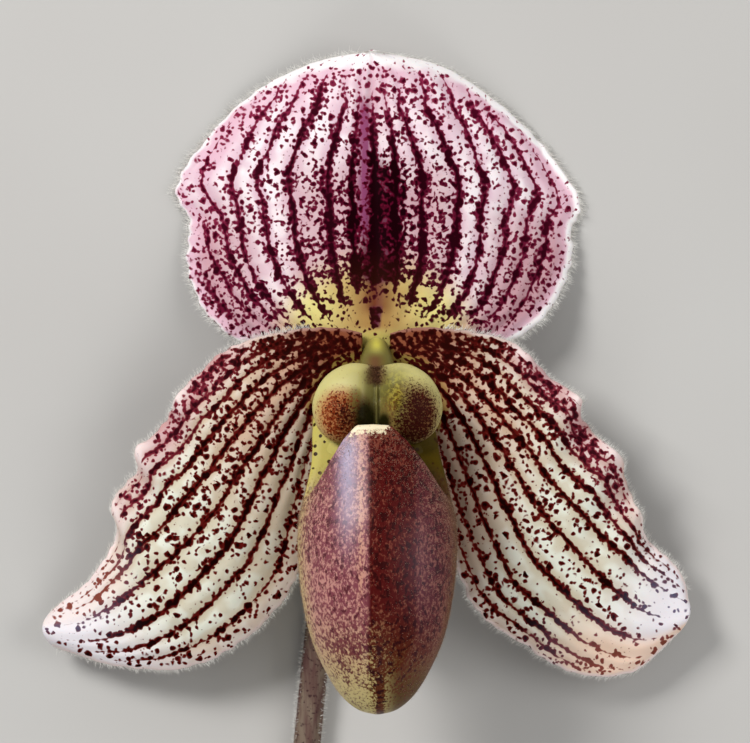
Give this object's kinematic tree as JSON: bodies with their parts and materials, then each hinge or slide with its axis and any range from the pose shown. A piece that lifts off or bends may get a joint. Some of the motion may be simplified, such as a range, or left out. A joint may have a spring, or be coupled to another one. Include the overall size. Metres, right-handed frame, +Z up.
{
  "type": "slipper orchid flower",
  "caption": "Single slipper orchid bloom cut with its stem and laid on its back: spotted hooded sepal, two ruffled drooping petals, hollow egg-shaped pouch and two-lobed shield.",
  "frame": {"origin": "middle of the box that the cut flower fills, on the surface that it lies on", "axes": "+Z up, the way the flower faces; +Y from the cut stem towards the tip of the dorsal sepal; +X to the right as one looks down on the flower"},
  "size_m": [0.0816, 0.1124, 0.0319],
  "materials": {
    "sepal_flesh": "waxy flower flesh, white to lilac-pink, with rows of merged maroon spots, yellow at the base and a fringe of pale hairs",
    "petal_flesh": "waxy flower flesh, cream to pink, striped and spotted red-brown, ruffled and fringed with pale hairs",
    "pouch_flesh": "glossy waxy flesh, finely mottled maroon over tan, with a dark keel and an ochre toe",
    "column_flesh": "smooth waxy flesh, pale yellow-green, speckled red-brown on the lower lobes",
    "stigma_flesh": "moist smooth ivory",
    "pollen_paste": "sticky yellow paste",
    "stem_skin": "purple-brown skin under short pale down",
    "bract_leaf": "thin green sheath with fine veins and a downy margin"
  },
  "bodies": {
    "root": {"dorsal_sepal": "sepal_flesh", "synsepal": "sepal_flesh", "petal_left": "petal_flesh", "petal_right": "petal_flesh", "pouch": "pouch_flesh", "column": "column_flesh", "staminode": "column_flesh", "stigma": "stigma_flesh", "anther_left": "pollen_paste", "anther_right": "pollen_paste", "ovary": "stem_skin", "bract": "bract_leaf", "stem": "stem_skin"}
  },
  "joints": []
}
